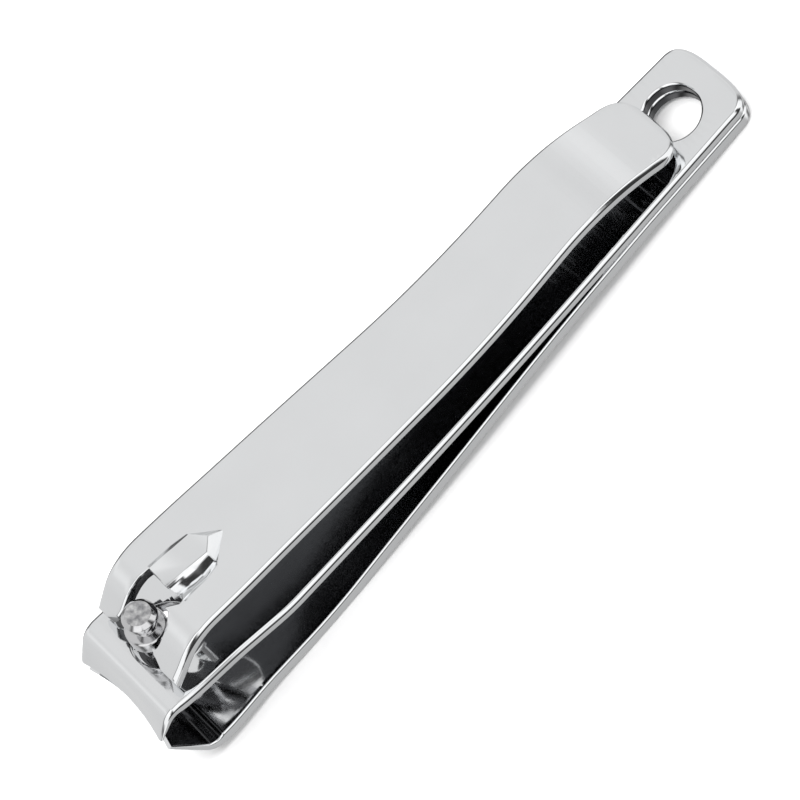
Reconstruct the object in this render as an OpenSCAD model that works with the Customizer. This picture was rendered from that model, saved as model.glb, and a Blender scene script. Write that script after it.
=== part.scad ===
// Nail clipper: two sprung arms riveted at the tail, a swivelling pin near the
// jaws and a lever that is stowed flat over the upper arm.
// X runs along the clipper with the tail at +X, Y across it, Z up from the surface it rests on.

/* [Stock] */
// thickness of the steel strip both arms and the lever are pressed from
sheet_t = 1.5; // [1.2:0.1:1.7]
// distance from the cutting edges to the tail end, before the clipper is set down
arm_length = 82; // [81.5:0.5:83]
// widest part of the arms
arm_width = 13.2; // [12.6:0.2:13.6]

/* [Arms] */
// rise of the upper arm's front above its flat spring
front_rise = 12; // [11:0.5:12.5]
// dip of the lower arm towards the jaws
lower_dip = 9.4; // [8.8:0.1:9.6]
// height between the two cutting edges at rest
jaw_gap = 2; // [1.8:0.1:2.4]
// how far the middle of each cutting edge is hollowed back
edge_hollow = 0.8; // [0.4:0.1:1.2]

/* [Key ring hole] */
// radius of the hole through both arms at the tail
ring_hole_r = 2.9; // [2.5:0.1:3.1]
// distance of that hole from the tail end
ring_hole_inset = 5.9; // [5.5:0.1:6.2]

/* [Pin] */
// lean of the pin towards the tail
pin_lean = 10; // [9:0.5:10.5]
// radius of the pin under the groove
pin_collar_r = 2.1; // [1.8:0.05:2.15]
// radius of the part that turns in the lower arm
pin_shaft_r = 1.6; // [1.4:0.05:1.65]

/* [Lever] */
// slope of the lever's front leg
leg_slope = 40; // [39:0.5:41]
// height of the pressed fulcrum above the lever
fulcrum_h = 2; // [1.5:0.1:2.2]

/* [Hidden] */

steel = [0.80, 0.81, 0.83];
dark_steel = [0.62, 0.62, 0.64];

// widths of the arms: distance from the cutting edges, half width
arm_stations = [[-1, 5.8], [0, 6.05], [2.2, arm_width/2 - 0.06], [12, arm_width/2 - 0.03],
                [26, arm_width/2], [38, 6.55], [48, 6.35], [57, 6.05], [66, 5.7], [77, 5.3], [79, 5.22]];

// Each strip is walked from one end as steps of [length, turn in degrees].
upper_steps = [[arm_length - 19, 0], [3, -front_rise], [12.3, 0], [1.9, 66], [5, 0]];
lower_steps = [[arm_length - 67.2, 0], [0.3, 1.9], [6.7, 0], [14.4, lower_dip - 4.4], [22.4, 2.5],
               [7.2, 0.5 - lower_dip], [12.1, 0], [1.85, -66], [7, 0]];
lever_steps = [[5.07, 0], [5, -6.2 - leg_slope], [27.6, 0], [16.1, 10.7], [3.5, 0], [10.2, -26.5], [5.2, 0]];

lever_front_x = 5.05;
lever_start = [lever_front_x - 1.2, 4.32];
lever_end_x = 74.2;
lever_stations = [[3, 5.9], [lever_front_x, 5.95], [7, 6.1], [11, 6.2], [15, 6.2], [22, 6.02],
                  [30, 5.8], [36, 5.6], [42, 5.4], [50, 5.15], [58, 4.92], [64, 4.8], [70, 4.6]];

upper_edge_z = 1.35;
lower_edge_z = upper_edge_z - jaw_gap;
rivet_x = 66.8;
rivet_r = 1.2;
ring_x = arm_length - ring_hole_inset;

pin_top = [7.68, 9.97];
groove_top = 1;
groove_end = 2.5;
collar_end = 4;
pin_head_depth = 16.75;
pin_head_r = 2.4;
fit = 0.06;

function split_steps(steps) =
    [for (s = steps)
        let (n = s[1] == 0 ? 1 : ceil(abs(s[1])/3))
        for (k = [1 : n]) [s[0]/n, s[1]/n]];

function walk(steps, p, heading, i = 0) =
    i == len(steps) ? [p] :
    let (mid = heading + steps[i][1]/2)
    concat([p], walk(steps, p + steps[i][0]*[cos(mid), sin(mid)], heading + steps[i][1], i + 1));

function unit(v) = v/norm(v);
function across(v) = [-v[1], v[0]];

// the point beside point i of a line, d to its left
function beside(line, i, d) =
    let (last = len(line) - 1,
         before = unit(line[max(i, 1)] - line[max(i, 1) - 1]),
         after = unit(line[min(i, last - 1) + 1] - line[min(i, last - 1)]),
         n = unit(across(before) + across(after)))
    line[i] + n*d/(n*across(after));

function strip(line, t) =
    concat([for (i = [0 : len(line) - 1]) beside(line, i, t/2)],
           [for (i = [len(line) - 1 : -1 : 0]) beside(line, i, -t/2)]);

// a full, rounded end: depth d and half width h
function round_end(x, h, d, n) =
    [for (a = [0 : 7.5 : 90]) [x + d*pow(sin(a), 2/n), h*pow(cos(a), 2/n)]];

function both_sides(half) =
    concat(half, [for (i = [len(half) - 1 : -1 : 0]) [half[i][0], -half[i][1]]]);

upper_line = walk(split_steps(upper_steps), [arm_length, sheet_t/2], 180);
lower_line = walk(split_steps(lower_steps), [arm_length, -sheet_t/2], 180);
lever_line = walk(split_steps(lever_steps), lever_start, leg_slope);

// Set down on a flat surface the clipper rests on its tail end and on the bend
// of the lower arm, so the whole model is turned by this angle.
lower_under = [for (i = [1 : len(lower_line) - 1]) beside(lower_line, i, sheet_t/2)];
rest_tilt = max([for (q = lower_under) atan2(-sheet_t - q[1], arm_length - q[0])]);
rest_x = 40.98;
rest_z = arm_length*sin(rest_tilt) + sheet_t*cos(rest_tilt);

module seated() {
    translate([-rest_x, 0, rest_z])
        rotate([0, rest_tilt, 0])
            children();
}

module side_view(width) {
    rotate([90, 0, 0])
        linear_extrude(width, center = true)
            children();
}

module plan_view() {
    translate([0, 0, -20])
        linear_extrude(40)
            children();
}

module bent_strip(line, plan) {
    intersection() {
        side_view(20) polygon(strip(line, sheet_t));
        plan_view() polygon(plan);
    }
}

arm_plan = both_sides(concat(arm_stations, round_end(79.05, 5.22, arm_length - 79.05, 3.3)));
lever_plan = both_sides(concat(lever_stations, round_end(70.4, 4.56, lever_end_x - 70.4, 3.3)));

// hollow ground into the front of both jaws
module edge_grind() {
    half = 6.05;
    r = (half*half + edge_hollow*edge_hollow)/(2*edge_hollow);
    translate([edge_hollow - r, 0, -10])
        cylinder(r = r, h = 20, $fn = 180);
}

// Both noses are ground thin on their inner faces. run is the length of the nose up to the
// cutting edge, and the metal left goes from the first thickness at the bend to the second.
module nose_grind(line, bend_start, inner_side, run, at_bend, at_edge) {
    a = line[len(line) - 2];
    dir = unit(line[len(line) - 1] - a);
    out = -inner_side*across(dir);
    b = a + run*dir;
    side_view(20)
        polygon([beside(line, bend_start, inner_side*sheet_t/2), a + (sheet_t/2 - at_bend)*out,
                 b + (sheet_t/2 - at_edge)*out, b + 2*dir + (sheet_t/2 - at_edge)*out,
                 b + 2*dir - 3*out]);
}

module along_pin(depth) {
    translate([pin_top[0], 0, pin_top[1]])
        rotate([0, pin_lean, 0])
            translate([0, 0, -depth])
                children();
}

module ring_hole() {
    translate([ring_x, 0, -5])
        cylinder(r = ring_hole_r, h = 10, $fn = 64);
}

module lower_arm() {
    color(steel)
    difference() {
        bent_strip(lower_line, arm_plan);
        // the nose is ground off level to make the cutting edge
        translate([-5, -10, lower_edge_z]) cube([10, 20, 10]);
        nose_grind(lower_line, len(lower_line) - 2 - ceil(66/3), -1, 4.7, 0.75, 0.35);
        edge_grind();
        ring_hole();
        translate([rivet_x, 0, -5]) cylinder(r = rivet_r, h = 10, $fn = 40);
        // bearing hole for the pin, with a seat for its lower head
        along_pin(20) cylinder(r = pin_shaft_r + fit, h = 8, $fn = 48);
        along_pin(22) cylinder(r = pin_head_r + 0.15, h = 22 - pin_head_depth + 0.7, $fn = 48);
    }
}

module upper_arm() {
    color(steel)
    difference() {
        bent_strip(upper_line, arm_plan);
        translate([-5, -10, upper_edge_z - 10]) cube([8, 20, 10]);
        nose_grind(upper_line, len(upper_line) - 2 - ceil(66/3), 1, 2, 1.0, 0.4);
        edge_grind();
        ring_hole();
        translate([rivet_x, 0, -5]) cylinder(r = rivet_r + 0.1, h = 10, $fn = 40);
        // the pin passes through this arm with room to spare
        translate([7.7, 0, 0]) cylinder(r = 3.4, h = 8, $fn = 64);
    }
}

module rear_rivet() {
    head_r = 2.3;
    head_h = 0.7;
    play = 0.1;
    color(dark_steel)
    translate([rivet_x, 0, 0])
        rotate_extrude($fn = 48)
            polygon([[0, -sheet_t - head_h], [head_r - 0.6, -sheet_t - head_h], [head_r, -sheet_t - 0.25],
                     [head_r, -sheet_t], [rivet_r, -sheet_t], [rivet_r, sheet_t + play],
                     [head_r, sheet_t + play], [head_r, sheet_t + 0.3],
                     [head_r - 0.6, sheet_t + head_h], [0, sheet_t + head_h]]);
}

module pin() {
    color(dark_steel)
    along_pin(0)
        rotate_extrude($fn = 48)
            polygon([[0, 0], [1.3, 0], [1.75, -0.45], [1.75, -groove_top], [1.15, -groove_top - 0.3],
                     [1.15, -groove_end + 0.1], [pin_collar_r - 0.15, -groove_end],
                     [pin_collar_r, -groove_end - 0.15], [pin_collar_r, -collar_end],
                     [pin_shaft_r, -collar_end - 0.3], [pin_shaft_r, 0.6 - pin_head_depth],
                     [pin_head_r, 0.6 - pin_head_depth], [pin_head_r, -pin_head_depth],
                     [pin_head_r - 0.4, -pin_head_depth - 0.35], [0, -pin_head_depth - 0.35]]);
}

// opening in the lever: a fork round the pin, one tooth and a square rear
module lever_opening() {
    plain_side = [[3, 6.6], [lever_front_x, 4.4], [6.2, 3.05], [7.4, 2.8], [9.5, 2.75], [11.5, 2.5]];
    toothed_side = [[11.5, -2.4], [11.1, -2.4], [10, -1.25], [9.9, -1.25], [9.9, -2.5], [7.2, -2.6],
                    [7.2, -2.05], [6.35, -2.05], [lever_front_x, -3.9], [3, -7.2]];
    plan_view() polygon(concat(plain_side, toothed_side));
    translate([8, 0, 0]) cylinder(r = 2.75, h = 20, $fn = 48);
}

// pointed, flat-topped hump; grow < 0 gives the hollow inside it
module fulcrum(grow) {
    base = 2.5 + grow;
    top = 1.35 + grow*0.6;
    high = 9.4 + fulcrum_h + grow + 0.35;
    intersection() {
        translate([11.5, 0, 0])
            rotate([90, 0, 90])
                linear_extrude(10)
                    polygon([[-base - 0.6, 8.2], [base + 0.6, 8.2], [base, 9.5], [top, high],
                             [-top, high], [-base, 9.5]]);
        side_view(10)
            polygon([[11.5, 7.4], [19.4 + grow*1.5, 7.4], [18.9 + grow*1.5, 9.2], [17.4 + grow, high - 1.39],
                     [11.5, high + 0.1]]);
        plan_view()
            polygon(both_sides([[11.5, base], [14.6, base], [16.2, base*0.86], [18.9 + grow*1.2, 0]]));
    }
}

module lever() {
    color(steel)
    difference() {
        union() {
            difference() {
                bent_strip(lever_line, lever_plan);
                lever_opening();
                // the leg is cut off square to the arm below it
                translate([0, -10, 0]) cube([lever_front_x, 20, 12]);
                translate([lever_front_x, 0, 4.42])
                    rotate([0, 45, 0])
                        cube([0.5, 20, 0.5], center = true);
            }
            fulcrum(0);
        }
        translate([-0.1, 0, 0]) fulcrum(-1.1);
    }
}

seated() lower_arm();
seated() upper_arm();
seated() rear_rivet();
seated() pin();
seated() lever();
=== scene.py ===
# The looks of the nail clipper: smooth pressed-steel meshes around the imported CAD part.
# Lengths in the helpers are millimetres in the clipper's own frame, in which the flat tail is level
# and the cutting edges are at x = 0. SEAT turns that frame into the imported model's frame.
import math

import bmesh
import bpy
import numpy as np
from mathutils import Matrix, Quaternion, Vector


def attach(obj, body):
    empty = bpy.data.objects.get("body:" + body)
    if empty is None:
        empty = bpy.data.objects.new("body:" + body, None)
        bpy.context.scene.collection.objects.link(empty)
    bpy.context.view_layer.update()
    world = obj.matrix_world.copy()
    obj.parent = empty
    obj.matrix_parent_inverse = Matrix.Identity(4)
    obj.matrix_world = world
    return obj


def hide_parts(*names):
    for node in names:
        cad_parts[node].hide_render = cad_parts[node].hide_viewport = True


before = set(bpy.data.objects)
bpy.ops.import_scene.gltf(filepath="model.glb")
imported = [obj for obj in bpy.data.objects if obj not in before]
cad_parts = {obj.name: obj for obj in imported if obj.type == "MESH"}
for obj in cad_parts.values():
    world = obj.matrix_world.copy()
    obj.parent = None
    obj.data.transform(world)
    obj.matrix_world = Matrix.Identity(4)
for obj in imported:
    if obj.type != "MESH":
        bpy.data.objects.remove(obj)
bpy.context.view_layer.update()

MM = 0.001

# How the clipper stands on its tail and its lower bend: its tilt, and the place of the model's origin.
REST_TILT = math.radians(4.5738)
REST_X = 40.98

# The arms. Places along them are distances from the cutting edges.
SHEET = 1.5
LENGTH = 82.0
RIVET_X = 66.8
RING_X, RING_R = LENGTH - 5.9, 2.9
CLEARANCE_X, CLEARANCE_R = 7.6, 3.3
BEARING_X, BEARING_R = 5.05, 1.66
RIVET_R = 1.2
UPPER_EDGE_Z = 1.35
LOWER_EDGE_Z = -0.65
EDGE_HOLLOW = 0.8
EDGE_HALF = 6.05
ARM_END_X, ARM_END_HALF = 79.05, 5.22

# The lever
LEG_SLOPE = 40
LEVER_START = (3.85, 4.32)
LEVER_FRONT = 5.25
LEVER_END_X, LEVER_END_HALF, LEVER_END_DEPTH = 70.4, 4.56, 3.8
FORK_X, FORK_R = 8, 2.75

# The pin: the middle of its top end, and its lean towards the tail
PIN_TOP = (7.68, 9.97)
PIN_LEAN = math.radians(10)

# How square the rounded ends of the strips are: 2 is a half ellipse, and more is squarer.
END_POWER = 3.3

# Each strip's middle line, as steps of (length, turn in degrees). A nose starts with the 66 degree bend.
UPPER_STEPS = [(63, 0), (3, -12), (12.3, 0), (1.9, 66), (5, 0)]
UPPER_NOSE = 3
LOWER_STEPS = [(14.8, 0), (0.3, 1.9), (6.7, 0), (14.4, 5.0), (22.4, 2.5), (7.2, -8.9),
               (12.1, 0), (1.85, -66), (7, 0)]
LOWER_NOSE = 7
LEVER_STEPS = [(5.07, 0), (5, -6.2 - LEG_SLOPE), (27.6, 0), (16.1, 10.7), (3.5, 0), (10.2, -26.5),
               (5.2, 0)]

# Half widths of the strips, as (x, half width)
ARM_WIDTHS = [(-1, 5.8), (0, EDGE_HALF), (2.2, 6.54), (12, 6.57), (26, 6.6), (38, 6.55), (48, 6.35),
              (57, 6.05), (66, 5.7), (77, 5.3), (ARM_END_X, ARM_END_HALF)]
LEVER_WIDTHS = [(LEVER_FRONT, 5.95), (7, 6.1), (11, 6.2), (15, 6.2), (22, 6.02), (30, 5.8), (36, 5.6),
                (42, 5.4), (50, 5.15), (58, 4.92), (64, 4.8), (LEVER_END_X, LEVER_END_HALF)]

# Points further than FACE from the middle of the sheet are on its flat faces.
FACE = SHEET/2 - 0.001

# Punched edges scaled less than CUT have walls painted near-black as painted shade, up to WALL from the
# middle of the sheet.
CUT = 0.68
WALL = 0.6

# The edge's section: how far in from the outline, and how far from the middle of the sheet.
EDGE = [(0.0, 0.0), (0.0, 0.26), (0.01, 0.35), (0.045, 0.43), (0.10, 0.50), (0.25, 0.65), (0.30, 0.693),
        (0.36, 0.728), (0.43, 0.75)]

# Face weights that the weighted-normal modifier reads, so that flat faces stay flat up to their rims
FACE_WEIGHT = "__mod_weightednormals_faceweight"
STRONG = 16384

# How near to a cutting plane a corner counts as on it
TOUCH = 1e-5


def seat_matrix():
    """From the clipper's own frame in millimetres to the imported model's frame in metres."""
    rise = LENGTH*math.sin(REST_TILT) + SHEET*math.cos(REST_TILT)
    turn = Matrix.Rotation(REST_TILT, 4, "Y")
    return Matrix.Scale(MM, 4) @ Matrix.Translation((-REST_X, 0, rise)) @ turn


SEAT = seat_matrix()


class Bend:
    """The middle line of a pressed strip: straight runs and circular bends in the XZ plane.

    up is 1 where the strip's upper face is to the left of its heading, and -1 where it is to the right."""

    def __init__(self, steps, start, heading):
        self.pieces = []
        self.up = 1 if heading < 90 else -1
        x, z, h, s = start[0], start[1], math.radians(heading), 0.0
        for length, turn in steps:
            self.pieces.append((s, length, x, z, h, math.radians(turn)))
            x, z, h = self.along(self.pieces[-1], length)
            s += length
        self.length = s
        self.s_table = np.linspace(0, s, 1200)
        self.x_table = np.array([self.at(v)[0] for v in self.s_table])

    @staticmethod
    def along(piece, d):
        """The point and the heading at the distance d into one piece."""
        _, length, x, z, h, turn = piece
        if turn == 0:
            return x + d*math.cos(h), z + d*math.sin(h), h
        k = turn/length
        end = h + k*d
        return x + (math.sin(end) - math.sin(h))/k, z - (math.cos(end) - math.cos(h))/k, end

    def at(self, s):
        piece = self.pieces[0]
        for candidate in self.pieces:
            if candidate[0] <= s:
                piece = candidate
        return self.along(piece, s - piece[0])

    def s_of_x(self, x):
        order = np.argsort(self.x_table)
        return float(np.interp(x, self.x_table[order], self.s_table[order]))


UPPER = Bend(UPPER_STEPS, (LENGTH, SHEET/2), 180)
LOWER = Bend(LOWER_STEPS, (LENGTH, -SHEET/2), 180)
LEVER = Bend(LEVER_STEPS, LEVER_START, LEG_SLOPE)


def smooth_widths(widths, step=0.8):
    """Half widths between the given ones, eased with a local cubic so the sides have no corners."""
    xs = np.array([p[0] for p in widths], float)
    ys = np.array([p[1] for p in widths], float)
    slopes = np.gradient(ys, xs)
    out = []
    for i in range(len(xs) - 1):
        gap = xs[i + 1] - xs[i]
        count = max(2, int(gap/step))
        for k in range(count):
            t = k/count
            out.append((xs[i] + t*gap,
                        (2*t**3 - 3*t**2 + 1)*ys[i] + (t**3 - 2*t**2 + t)*gap*slopes[i]
                        + (-2*t**3 + 3*t**2)*ys[i + 1] + (t**3 - t**2)*gap*slopes[i + 1]))
    return out + [(xs[-1], ys[-1])]


def round_end(x, half, depth, steps=26):
    """A full end with rounded corners, from the side to the tip."""
    out = []
    for k in range(1, steps + 1):
        a = math.pi/2*k/steps
        out.append((x + depth*math.sin(a)**(2/END_POWER), half*max(math.cos(a), 0.0)**(2/END_POWER)))
    return out


def fillet(points, radii, steps=5):
    """Rounds the corners of an open line of (x, y) points, and leaves nearly straight ones alone."""
    straight = math.radians(88)
    most = 0.48
    out = [points[0]]
    for i in range(1, len(points) - 1):
        p, q, r = (Vector(points[j]) for j in (i - 1, i, i + 1))
        a, b = (p - q).normalized(), (r - q).normalized()
        half = a.angle(b)/2
        if radii[i] <= 0 or half > straight:
            out.append(tuple(q))
            continue
        reach = min(radii[i]/math.tan(half), most*(p - q).length, most*(r - q).length)
        radius = reach*math.tan(half)
        centre = q + (a + b).normalized()*(radius/math.sin(half))
        first, last = q + a*reach - centre, q + b*reach - centre
        swing = first.angle_signed(last)
        for k in range(steps + 1):
            spoke = first.copy()
            spoke.rotate(Matrix.Rotation(-swing*k/steps, 2))
            out.append(tuple(centre + spoke))
    out.append(points[-1])
    return out


def mirrored(half):
    """A closed outline from the half with y > 0, run from the front to the tail."""
    return [(x, y) for x, y in half] + [(x, -y) for x, y in reversed(half) if abs(y) > 1e-6]


def circle(x, r, steps=96):
    """A round hole on the middle line of the strip."""
    angles = [2*math.pi*k/steps for k in range(steps)]
    return [(x + r*math.cos(a), r*math.sin(a)) for a in angles]


def inset_loop(points, amount, is_hole):
    """The loop moved into the metal by amount (one value per point)."""
    pts = np.array(points, float)
    area = 0.5*np.sum(pts[:, 0]*np.roll(pts[:, 1], -1) - np.roll(pts[:, 0], -1)*pts[:, 1])
    sign = 1 if area > 0 else -1
    if is_hole:
        sign = -sign
    before = pts - np.roll(pts, 1, axis=0)
    after = np.roll(pts, -1, axis=0) - pts
    before /= np.linalg.norm(before, axis=1)[:, None]
    after /= np.linalg.norm(after, axis=1)[:, None]
    n1 = np.stack([-before[:, 1], before[:, 0]], 1)
    n2 = np.stack([-after[:, 1], after[:, 0]], 1)
    mean = n1 + n2
    mean /= np.linalg.norm(mean, axis=1)[:, None]
    reach = 1/np.clip((mean*n2).sum(1), 0.5, 1)
    return pts + sign*mean*(np.array(amount)*reach)[:, None]


def geometry_of(faces):
    """The faces with their corners and edges, as bisect_plane takes them."""
    corners = dict.fromkeys(v for f in faces for v in f.verts)
    edges = dict.fromkeys(e for f in faces for e in f.edges)
    return list(corners) + list(edges) + faces


def edge_rings(bm, bend, loop, scale, is_hole):
    """Rings of points round one loop, from the upper face over the edge to the lower face."""
    flat = [(bend.s_of_x(x), y) for x, y in loop]
    rings = []
    for side, levels in ((1, EDGE[::-1]), (-1, EDGE[1:])):
        for inset, height in levels:
            moved = inset_loop(flat, inset*scale, is_hole)
            ws = SHEET/2 - (SHEET/2 - height)*scale if height > 0 else np.zeros(len(loop))
            rings.append([bm.verts.new((p[0], p[1], side*w)) for p, w in zip(moved, ws)])
    return rings


def pressed(bend, loops, edge_scales, slices_along, slices_across, shape=None, slices_under=(),
            dark=lambda s, w: w < -FACE):
    """A plate with rounded edges, cut from loops in (x, y), then bent along its middle line.

    A point of the flat plate is (s, y, w): along the strip, across it, and up from its middle.
    loops[0] is the outline and the others are holes. edge_scales says for each loop how large its
    rounded edge is, as one value or as one per point. The mesh is sliced so that it bends smoothly:
    slices_along are places along the strip, slices_under are more of them for the lower face alone,
    and slices_across are (y, from, to). shape moves the points of the flat plate before it is bent.
    Faces for which dark is true get the second material, a near-black steel that is painted shade, and so
    do the walls of edges below CUT."""
    bm = bmesh.new()
    caps = {1: [], -1: []}
    for i, loop in enumerate(loops):
        scale = np.broadcast_to(np.array(edge_scales[i], float), (len(loop),))
        punched = i > 0 or min(scale) < max(scale)
        rings = edge_rings(bm, bend, loop, scale, i > 0)
        for a, b in zip(rings, rings[1:]):
            for k in range(len(loop)):
                m = (k + 1) % len(loop)
                face = bm.faces.new((a[k], a[m], b[m], b[k]))
                # walls of small punched edges get the painted-shade material
                if punched and max(scale[k], scale[m]) < CUT and abs(face.calc_center_median().z) < WALL:
                    face.material_index = 1
        for side, ring in ((1, rings[0]), (-1, rings[-1])):
            for k in range(len(loop)):
                caps[side].append(bm.edges.get((ring[k], ring[(k + 1) % len(loop)])))
    for side in caps:
        bmesh.ops.triangle_fill(bm, use_beauty=True, use_dissolve=False, edges=caps[side])
    bmesh.ops.recalc_face_normals(bm, faces=bm.faces)
    for s in slices_along:
        bmesh.ops.bisect_plane(bm, geom=bm.verts[:] + bm.edges[:] + bm.faces[:], dist=TOUCH,
                               plane_co=(s, 0, 0), plane_no=(1, 0, 0))
    for s in slices_under:
        under = [f for f in bm.faces if f.calc_center_median().z < -FACE]
        bmesh.ops.bisect_plane(bm, geom=geometry_of(under), dist=TOUCH,
                               plane_co=(s, 0, 0), plane_no=(1, 0, 0))
    for y, s_low, s_high in slices_across:
        part = [f for f in bm.faces if s_low < f.calc_center_median().x < s_high]
        bmesh.ops.bisect_plane(bm, geom=geometry_of(part), dist=TOUCH,
                               plane_co=(0, y, 0), plane_no=(0, 1, 0))
    weight = bm.faces.layers.int.new(FACE_WEIGHT)
    for f in bm.faces:
        middle = f.calc_center_median()
        if abs(middle.z) > FACE:
            f[weight] = STRONG
        # faces picked by dark get the painted-shade material
        if dark(middle.x, middle.z):
            f.material_index = 1
    for v in bm.verts:
        s, y, w = v.co if shape is None else shape(*v.co)
        x, z, h = bend.at(min(max(s, 0.0), bend.length))
        v.co = (x - bend.up*math.sin(h)*w, y, z + bend.up*math.cos(h)*w)
    bmesh.ops.recalc_face_normals(bm, faces=bm.faces)
    return bm


def finish_mesh(bm, name, body, *nodes, mats, sharp=38):
    """Seats the mesh in the model's frame and makes the piece that stands for its CAD node."""
    bmesh.ops.transform(bm, matrix=SEAT, verts=bm.verts)
    for e in bm.edges:
        e.smooth = not (e.is_manifold and e.calc_face_angle(0) > math.radians(sharp))
    for f in bm.faces:
        f.smooth = True
    mesh = bpy.data.meshes.new(name)
    bm.to_mesh(mesh)
    bm.free()
    obj = bpy.data.objects.new(name, mesh)
    bpy.context.collection.objects.link(obj)
    weighted = obj.modifiers.new("weighted", "WEIGHTED_NORMAL")
    weighted.keep_sharp = True
    weighted.use_face_influence = True
    for m in mats:
        mesh.materials.append(m)
    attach(obj, body)
    if nodes:
        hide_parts(*nodes)
    return obj


def spread(*spans):
    """Evenly spaced places, from (from, to, step) spans."""
    out = []
    for a, b, step in spans:
        out += list(np.arange(a, b, step))
    return out


def cut_flat(bm, z, keep_above):
    """Grinds a nose off level at the height z."""
    nose_x, near = 3.2, 1e-4
    nose = [f for f in bm.faces if min(v.co.x for v in f.verts) < nose_x]
    made = bmesh.ops.bisect_plane(bm, geom=geometry_of(nose), dist=near, plane_co=(0, 0, z),
                                  plane_no=(0, 0, -1 if keep_above else 1), clear_outer=True)
    edges = [e for e in made["geom_cut"] if isinstance(e, bmesh.types.BMEdge)]
    bmesh.ops.triangle_fill(bm, edges=edges, use_beauty=True, use_dissolve=False)
    bmesh.ops.recalc_face_normals(bm, faces=bm.faces)


# ---------------------------------------------------------------- materials

class Graph:
    """A node tree under construction."""

    def __init__(self, owner):
        owner.use_nodes = True
        self.tree = owner.node_tree
        self.tree.nodes.clear()

    def node(self, kind, inputs, output=0, **settings):
        """Adds a node and returns one of its outputs. inputs holds, by the name or the number of the
        socket, plain values and the outputs of other nodes."""
        node = self.tree.nodes.new("ShaderNode" + kind)
        for key, value in settings.items():
            setattr(node, key, value)
        for key, value in inputs.items():
            if isinstance(value, bpy.types.NodeSocket):
                self.tree.links.new(value, node.inputs[key])
            else:
                node.inputs[key].default_value = value
        return node.outputs[output]

    def position(self):
        return self.node("TexCoord", {}, "Object")

    def noise(self, where, scale, detail):
        return self.node("TexNoise", {"Vector": where, "Scale": scale, "Detail": detail})

    def calculate(self, operation, a, b=0.0):
        return self.node("Math", {0: a, 1: b}, operation=operation)

    def remap(self, value, source=(0, 1), target=(0, 1), ease="LINEAR"):
        ends = {"From Min": source[0], "From Max": source[1], "To Min": target[0], "To Max": target[1]}
        return self.node("MapRange", {"Value": value, **ends}, interpolation_type=ease)

    def ramp(self, value, stops, ease="LINEAR"):
        """Colours by value. A stop is (value, colour)."""
        colours = self.node("ValToRGB", {0: value})
        ramp = colours.node.color_ramp
        ramp.interpolation = ease
        while len(ramp.elements) < len(stops):
            ramp.elements.new(0.5)
        for element, (position, colour) in zip(ramp.elements, stops):
            element.position = position
            element.color = (*colour, 1)
        return colours

    def mix(self, factor, a, b, blend="MIX"):
        # a colour mix has its two colours at inputs 6 and 7, and its result at output 2
        return self.node("Mix", {0: factor, 6: a, 7: b}, 2, data_type="RGBA", blend_type=blend)

    def bump(self, height, strength, depth):
        return self.node("Bump", {"Height": height, "Strength": strength, "Distance": depth})

    def finish(self, kind, shader):
        """Ends the tree with the output node that shows the shader."""
        end = self.tree.nodes.new("ShaderNode" + kind)
        self.tree.links.new(shader, end.inputs[0])

    def surface(self, inputs):
        self.finish("OutputMaterial", self.node("BsdfPrincipled", inputs))


def grey(value):
    return (value, value, value)


def polished_steel(name, tint, rough, streak):
    """Plated steel: a mirror with faint polishing haze, fine streaks and slight waviness.

    rough is the roughness where the haze is thinnest and where it is thickest."""
    mat = bpy.data.materials.new(name)
    graph = Graph(mat)
    where = graph.position()
    stretched = graph.node("Mapping", {"Vector": where, "Scale": (60, 900, 300)})
    streaks = graph.noise(stretched, 2.0, 6.0)
    haze = graph.noise(where, 130.0, 3.0)
    graph.surface({
        "Metallic": 1.0,
        "Roughness": graph.remap(graph.calculate("MULTIPLY", streaks, haze), (0.12, 0.42), rough),
        "Base Color": graph.ramp(haze, [(0.3, [c*0.97 for c in tint]), (0.7, tint)]),
        "Normal": graph.bump(streaks, streak, 0.02*MM)})
    return mat


def headed_steel(name):
    """The raw, cold-headed end of the pin: dull grey with a pitted surface."""
    mat = bpy.data.materials.new(name)
    graph = Graph(mat)
    pits = graph.noise(graph.position(), 1500.0, 7.0)
    graph.surface({
        "Metallic": 0.75,
        "Roughness": graph.remap(pits, target=(0.38, 0.62)),
        "Base Color": graph.ramp(pits, [(0.35, (0.22, 0.22, 0.23)), (0.66, grey(0.60))]),
        "Normal": graph.bump(pits, 0.7, 0.06*MM)})
    return mat


def paper(name):
    """White paper with a hardly visible grain."""
    mat = bpy.data.materials.new(name)
    graph = Graph(mat)
    grain = graph.noise(graph.position(), 900.0, 2.0)
    graph.surface({
        "Roughness": 0.9,
        "Base Color": graph.ramp(grain, [(0.0, grey(0.90)), (1.0, grey(0.93))])})
    return mat


CHROME = polished_steel("chrome_arm", (0.86, 0.87, 0.88), (0.05, 0.12), 0.10)
CHROME_LEVER = polished_steel("chrome_lever", (0.87, 0.88, 0.89), (0.05, 0.13), 0.12)
# Near-black steel for the undersides, the lower jaw's inner face and the walls of small holes: painted
# shade for the shadow between the plates and under the clipper
SHADE_STEEL = polished_steel("painted_shade_steel", (0.075, 0.076, 0.08), (0.12, 0.26), 0.2)
PIN_STEEL = polished_steel("pin_steel", (0.66, 0.66, 0.67), (0.08, 0.18), 0.25)
PIN_END = headed_steel("pin_end")


# ---------------------------------------------------------------- arms

def arm_outline(front_x):
    half = smooth_widths(ARM_WIDTHS) + round_end(ARM_END_X, ARM_END_HALF, LENGTH - ARM_END_X)
    return mirrored([(max(x, front_x), y) for x, y in half])


def hollow_nose(bm, edge_z, bend_z):
    """Bows the nose so that its cutting edge is hollowed back by EDGE_HOLLOW in the middle."""
    nose_x = 4.5
    for v in bm.verts:
        if v.co.x < nose_x:
            t = min(max((bend_z - v.co.z)/(bend_z - edge_z), 0.0), 1.0)
            t = t*t*(3 - 2*t)
            v.co.x += EDGE_HOLLOW*t*max(0.0, 1 - (v.co.y/EDGE_HALF)**2)


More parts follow.
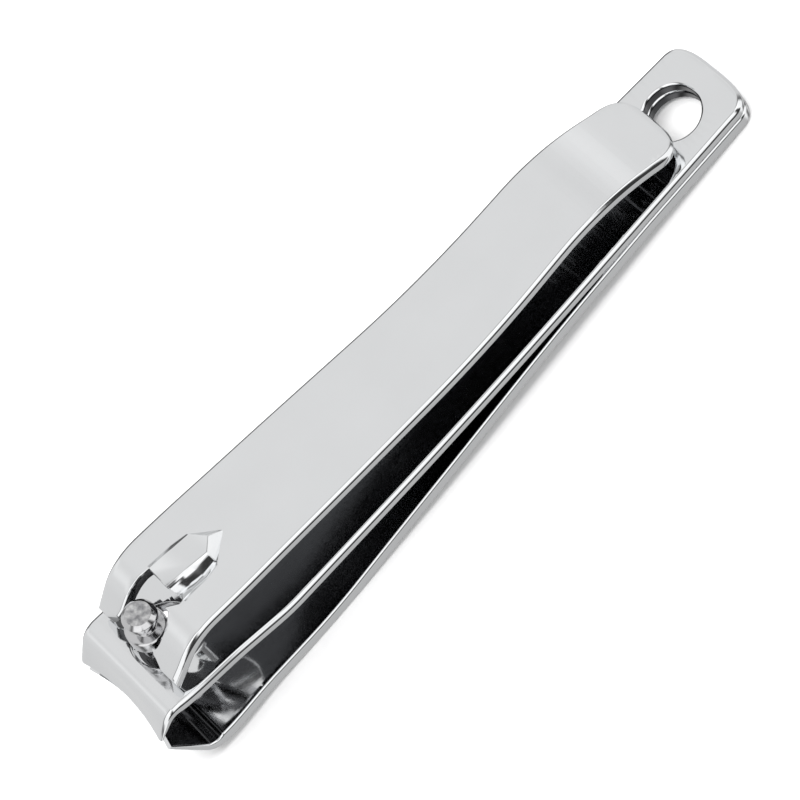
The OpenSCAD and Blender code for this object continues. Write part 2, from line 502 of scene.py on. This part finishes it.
def thinned(bend, nose, run, at_bend, at_edge, inner):
    """Grinds the nose thin on its inner face: to at_bend where its bend ends, and at_edge run further."""
    bend_end = bend.pieces[nose + 1][0]
    places = [bend.pieces[nose][0], bend_end, bend_end + run]

    def place(s, y, w):
        left = float(np.interp(s, places, [SHEET, at_bend, at_edge]))
        return s, y, inner*((inner*w + SHEET/2)*left/SHEET - SHEET/2)
    return place


NOSE_SLICES = [(y, 60, 90) for y in np.arange(-6.0, 6.01, 0.75)]


def upper_arm():
    nose = UPPER.pieces[UPPER_NOSE][0]
    holes = [circle(CLEARANCE_X, CLEARANCE_R), circle(RING_X, RING_R), circle(RIVET_X, RIVET_R + 0.1, 40)]
    bm = pressed(UPPER, [arm_outline(-0.62)] + holes, [1.0, 0.7, 0.66, 0.1],
                 spread((1, 61, 1.5), (61.5, 65.5, 0.25), (66, nose, 1.5), (nose, nose + 6.5, 0.16)),
                 NOSE_SLICES, thinned(UPPER, UPPER_NOSE, 2, 1.0, 0.4, -1))
    hollow_nose(bm, UPPER_EDGE_Z, 4.4)
    cut_flat(bm, UPPER_EDGE_Z, True)
    return bm


def lower_arm():
    nose = LOWER.pieces[LOWER_NOSE][0]
    holes = [circle(BEARING_X, BEARING_R, 60), circle(RING_X, RING_R), circle(RIVET_X, RIVET_R, 40)]
    bm = pressed(LOWER, [arm_outline(0.0)] + holes, [0.5, 0.2, 0.66, 0.1],
                 spread((1, 14, 1.5), (14.0, 15.0, 0.1), (15.5, 58, 0.75), (58, 65.5, 0.3),
                        (66, nose, 1.5), (nose, nose + 8.8, 0.16)),
                 NOSE_SLICES, thinned(LOWER, LOWER_NOSE, 4.7, 0.75, 0.35, 1),
                 # the lower jaw's inner face past its bend is painted near-black: painted shade under the
                 # upper jaw
                 dark=lambda s, w: w > FACE and s > nose - 0.2)
    hollow_nose(bm, LOWER_EDGE_Z, -5.9)
    cut_flat(bm, LOWER_EDGE_Z, False)
    return bm


# ---------------------------------------------------------------- lever

def lever_outline():
    """The lever's outline, with the forked opening round the pin as part of it, and its edge scales."""
    outer = smooth_widths(LEVER_WIDTHS) + round_end(LEVER_END_X, LEVER_END_HALF, LEVER_END_DEPTH)
    front = outer[0]
    rear_x = 11.5
    arc = [(FORK_X + FORK_R*math.cos(a), FORK_R*math.sin(a)) for a in np.radians(np.arange(-118, -44, 9))]
    toothed_side = ([(front[0], -front[1]), (front[0], -3.9), (6.35, -2.05), (6.75, -2.1)] + arc
                    + [(9.92, -1.25), (11.1, -2.4), (rear_x, -2.4)])
    plain_side = [(rear_x, 2.5), (10.4, 2.7), (9.3, 2.78), (8.2, 2.8), (7.2, 2.82), (6.2, 3.05),
                  (front[0], 4.4), front]
    radii = [0, 0.5, 0.4, 0.1] + [0.1]*len(arc) + [0.1, 0.15, 0.12, 0.15] + [0.5]*6 + [0]
    rim = fillet(toothed_side + plain_side, radii, 4)[1:-1]
    outline = outer + [(x, -y) for x, y in reversed(outer) if abs(y) > 1e-6] + rim
    # the rim's edge is soft along the plain side, and nearly sharp elsewhere
    scale = [0.6 if y > 2.6 and 6 < x < 11 else 0.28 for x, y in rim]
    return outline, [1.0]*(len(outline) - len(rim)) + scale


# The lever's front end is upright, and its sections turn square to the leg over UPRIGHT_RUN.
LEVER_FRONT_S = LEVER.s_of_x(LEVER_FRONT)
UPRIGHT_RUN = 2.2

# The fine cross lines filed under the lever's tail: where they are, how deep, and how finely sliced
GROOVES_FROM, GROOVES_TO = 54.0, 71.5
GROOVE_PITCH = 1.77
GROOVE_DEPTH = 0.10
GROOVE_HALF = 4.3
GROOVE_SLICE = 0.1106


def lever_shape(s, y, w):
    """Keeps the lever's front end upright instead of square to its leg, and files its underside."""
    if w < 0.01 - SHEET/2 and GROOVES_FROM < s < GROOVES_TO and abs(y) < GROOVE_HALF:
        phase = ((s - GROOVES_FROM) % GROOVE_PITCH)/GROOVE_PITCH
        w += GROOVE_DEPTH*max(0.0, 1 - abs(phase - 0.5)*8)
    t = max(0.0, 1 - (s - LEVER_FRONT_S)/UPRIGHT_RUN)
    return s + math.tan(math.radians(LEG_SLOPE))*t*w, y, w


def lever_plate():
    outline, scale = lever_outline()
    return pressed(LEVER, [outline], [scale],
                   spread((1.6, 5, 0.4), (5.07, 10.07, 0.2), (10.5, 37, 1.5), (37.6, 77, 0.6)),
                   [(y, 0, 13) for y in np.arange(-6, 6.01, 0.6)], shape=lever_shape,
                   slices_under=spread((GROOVES_FROM + 0.03, GROOVES_TO + 0.1, GROOVE_SLICE)))


def fulcrum():
    """The pressed hump: a flat-topped ridge, open at the front, with two facets meeting in a point."""
    def above(x, y, rise):
        _, z, heading = LEVER.at(LEVER.s_of_x(x))
        return (x, y, z + SHEET/2/math.cos(heading) + rise)

    # sections from the plate up to the flat top: (x, rise of the top, half widths going up)
    sections = [(11.5, 2.0, (2.5, 2.3, 1.9, 1.38)), (14.4, 1.62, (2.5, 2.3, 1.9, 1.38)),
                (16.2, 1.40, (2.12, 2.0, 1.75, 1.42))]
    heights = (-0.06, 0.42, 0.76, 1.0)
    bm = bmesh.new()
    tip = bm.verts.new(above(18.8, 0, -0.1))
    crest = bm.verts.new(above(17.35, 0, 1.15))
    rims = {}
    for side in (1, -1):
        walls = [[bm.verts.new(above(x, side*y, rise*h)) for y, h in zip(widths, heights)]
                 for x, rise, widths in sections]
        for a, b in zip(walls, walls[1:]):
            for k in range(len(heights) - 1):
                bm.faces.new((a[k], b[k], b[k + 1], a[k + 1]))
        bm.faces.new(walls[-1] + [crest, tip])
        rims[side] = [wall[-1] for wall in walls]
    for k in range(len(sections) - 1):
        bm.faces.new((rims[1][k], rims[1][k + 1], rims[-1][k + 1], rims[-1][k]))
    bm.faces.new((rims[1][-1], crest, rims[-1][-1]))
    bmesh.ops.recalc_face_normals(bm, faces=bm.faces)
    if sum(f.normal.z for f in bm.faces) < 0:
        bmesh.ops.reverse_faces(bm, faces=bm.faces)
    creases = [e for e in bm.edges if e.is_manifold and e.calc_face_angle(0) > math.radians(9)]
    bmesh.ops.bevel(bm, geom=creases, offset=0.10, segments=3, profile=0.5, affect="EDGES")
    return bm


# ---------------------------------------------------------------- pin and rivet

def turned(profile, steps=96):
    """A turned piece about Z from (radius, z) points, top first."""
    bm = bmesh.new()
    angles = [2*math.pi*k/steps for k in range(steps)]
    rings = []
    for r, z in profile:
        around = angles if r > 0 else [0]
        rings.append([bm.verts.new((r*math.cos(a), r*math.sin(a), z)) for a in around])
    for a, b in zip(rings, rings[1:]):
        for k in range(steps):
            m = (k + 1) % steps
            face = [a[k % len(a)], a[m % len(a)], b[m % len(b)], b[k % len(b)]]
            bm.faces.new(list(dict.fromkeys(face)))
    bmesh.ops.recalc_face_normals(bm, faces=bm.faces)
    return bm


def softened(profile, r):
    """Rounds the corners of a turned profile."""
    points = fillet(profile, [0] + [r]*(len(profile) - 2) + [0], 4)
    return [(max(x, 0), z) for x, z in points]


def pin():
    top, neck, collar, shaft, head = 1.75, 1.15, 2.1, 1.5, 2.4
    groove_top, groove_end, head_z = -1, -2.4, -16.15
    profile = [(0, 0), (0.7, -0.004), (1.3, 0), (top, -0.45), (top, groove_top), (neck, groove_top - 0.3),
               (neck, groove_end), (collar - 0.15, groove_end - 0.1), (collar, groove_end - 0.25),
               (collar, -4), (shaft, -4.3), (shaft, head_z), (head, head_z), (head, head_z - 0.6),
               (head - 0.4, head_z - 0.95), (0, head_z - 0.95)]
    bm = turned(softened(profile, 0.10))
    end_depth = 0.03
    for f in bm.faces:
        if f.calc_center_median().z > -end_depth:
            f.material_index = 1
    lean = Matrix.Translation((PIN_TOP[0], 0, PIN_TOP[1])) @ Matrix.Rotation(PIN_LEAN, 4, "Y")
    bmesh.ops.transform(bm, matrix=lean, verts=bm.verts)
    return bm


def rivet():
    """The rear rivet, domed at both ends."""
    head_r, head_h, play = 2.3, 0.7, 0.1
    top, under = SHEET + head_h, -SHEET - head_h
    profile = [(0, top), (1.0, top - 0.02), (1.7, top - 0.12), (head_r, SHEET + 0.3),
               (head_r, SHEET + play), (RIVET_R, SHEET + play), (RIVET_R, -SHEET), (head_r, -SHEET),
               (head_r, -SHEET - 0.25), (1.7, under + 0.1), (1.0, under), (0, under)]
    bm = turned(softened(profile, 0.15), 64)
    bmesh.ops.translate(bm, vec=(RIVET_X, 0, 0), verts=bm.verts)
    return bm


lower = finish_mesh(lower_arm(), "lower_arm_look", "base", "lower_arm", mats=[CHROME, SHADE_STEEL])
upper = finish_mesh(upper_arm(), "upper_arm_look", "spring_arm", "upper_arm", mats=[CHROME, SHADE_STEEL])
plate = finish_mesh(lever_plate(), "lever_look", "lever", "lever", mats=[CHROME_LEVER, SHADE_STEEL], sharp=44)
hump = finish_mesh(fulcrum(), "lever_fulcrum", "lever", mats=[CHROME_LEVER], sharp=40)
thick = hump.modifiers.new("shell", "SOLIDIFY")
thick.thickness = 0.9*MM
thick.offset = -1
pin_look = finish_mesh(pin(), "pin_look", "pin", "pin", mats=[PIN_STEEL, PIN_END], sharp=35)
rivet_look = finish_mesh(rivet(), "rivet_look", "base", "rear_rivet", mats=[PIN_STEEL], sharp=35)


# ---------------------------------------------------------------- stage, lights, camera

def stage_floor():
    """White paper, larger than the view. The steel doesn't mirror it: it mirrors the studio alone."""
    bm = bmesh.new()
    bmesh.ops.create_grid(bm, x_segments=8, y_segments=8, size=3.0)
    mesh = bpy.data.meshes.new("floor")
    bm.to_mesh(mesh)
    bm.free()
    floor = bpy.data.objects.new("floor", mesh)
    bpy.context.collection.objects.link(floor)
    mesh.materials.append(paper("floor_paper"))
    floor.visible_glossy = False


def area_light(name, centre, aim, size, power):
    """A soft light that the steel doesn't mirror."""
    data = bpy.data.lights.new(name, "AREA")
    data.shape = "RECTANGLE"
    data.size, data.size_y = size
    data.energy = power
    light = bpy.data.objects.new(name, data)
    bpy.context.collection.objects.link(light)
    light.visible_glossy = False
    light.location = centre
    light.rotation_mode = "QUATERNION"
    light.rotation_quaternion = (Vector(aim) - Vector(centre)).to_track_quat("-Z", "Y")


def world_light():
    """The studio that the steel mirrors: bands round the side-to-side axis, and a plainer pair of ends.

    The bands go by the angle from straight up, positive to the front and negative to the back."""
    world = bpy.data.worlds.new("studio")
    bpy.context.scene.world = world
    graph = Graph(world)
    where = graph.node("TexCoord", {}, "Generated")
    x, y, z = graph.node("SeparateXYZ", {0: where}).node.outputs
    angle = graph.calculate("ARCTAN2", graph.calculate("MULTIPLY", y, -1.0), z)
    bands = [(-180, 0.40), (-110, 0.30), (-95, 0.05), (-70, 0.10), (-58, 0.76), (-30, 0.80), (20, 0.80),
             (25, 0.30), (35, 0.30), (42, 1.15), (67, 1.15), (71, 0.20), (80, 0.20), (86, 0.04),
             (122, 0.05), (130, 0.55), (180, 0.45)]
    around = graph.ramp(graph.remap(angle, (-math.pi, math.pi)),
                        [((degrees + 180)/360, grey(value)) for degrees, value in bands])
    # the ends: depths go from the front (0) to the back (1), and glows from below (0) to above (1)
    depths = [(0.0, 0.04), (0.12, 0.05), (0.16, 1.15), (0.38, 1.1), (0.47, 0.15), (0.53, 0.30),
              (0.60, 0.72), (1.0, 0.82)]
    glows = [(0.0, 0.92), (0.55, 0.95), (0.72, 1.0), (0.80, 1.16), (0.88, 1.0), (1.0, 1.0)]
    depth = graph.ramp(graph.remap(y, (-1, 1)), [(place, grey(value)) for place, value in depths])
    glow = graph.ramp(graph.remap(z, (-1, 1)), [(place, grey(value)) for place, value in glows], "EASE")
    lit = graph.mix(1.0, depth, glow, "MULTIPLY")
    sideways = graph.remap(graph.calculate("ABSOLUTE", x), (0.26, 0.42), ease="SMOOTHSTEP")
    background = graph.node("Background", {0: graph.mix(sideways, around, lit)})
    graph.finish("OutputWorld", background)


def camera(azimuth, elevation, roll, distance, target):
    """A long lens at a distance from the target. Azimuth 0 looks along +Y."""
    data = bpy.data.cameras.new("camera")
    cam = bpy.data.objects.new("camera", data)
    bpy.context.collection.objects.link(cam)
    data.sensor_width = 36
    data.lens = 216
    data.clip_start, data.clip_end = 0.01, 10
    a, e = math.radians(azimuth), math.radians(elevation)
    back = Vector((math.sin(a)*math.cos(e), -math.cos(a)*math.cos(e), math.sin(e)))
    cam.location = Vector(target) + back*distance
    cam.rotation_mode = "QUATERNION"
    level = (-back).to_track_quat("-Z", "Y")
    cam.rotation_quaternion = level @ Quaternion((0, 0, 1), math.radians(roll))
    bpy.context.scene.camera = cam


stage_floor()
world_light()
area_light("overhead", centre=(0.0, 0.05, 0.6), aim=(0, 0, 0), size=(0.5, 0.5), power=5.0)
camera(azimuth=5.121, elevation=58.739, roll=-53.611, distance=0.44981,
       target=(-0.00207, -0.00079, 0.00802))
bpy.context.scene.view_settings.view_transform = "Standard"
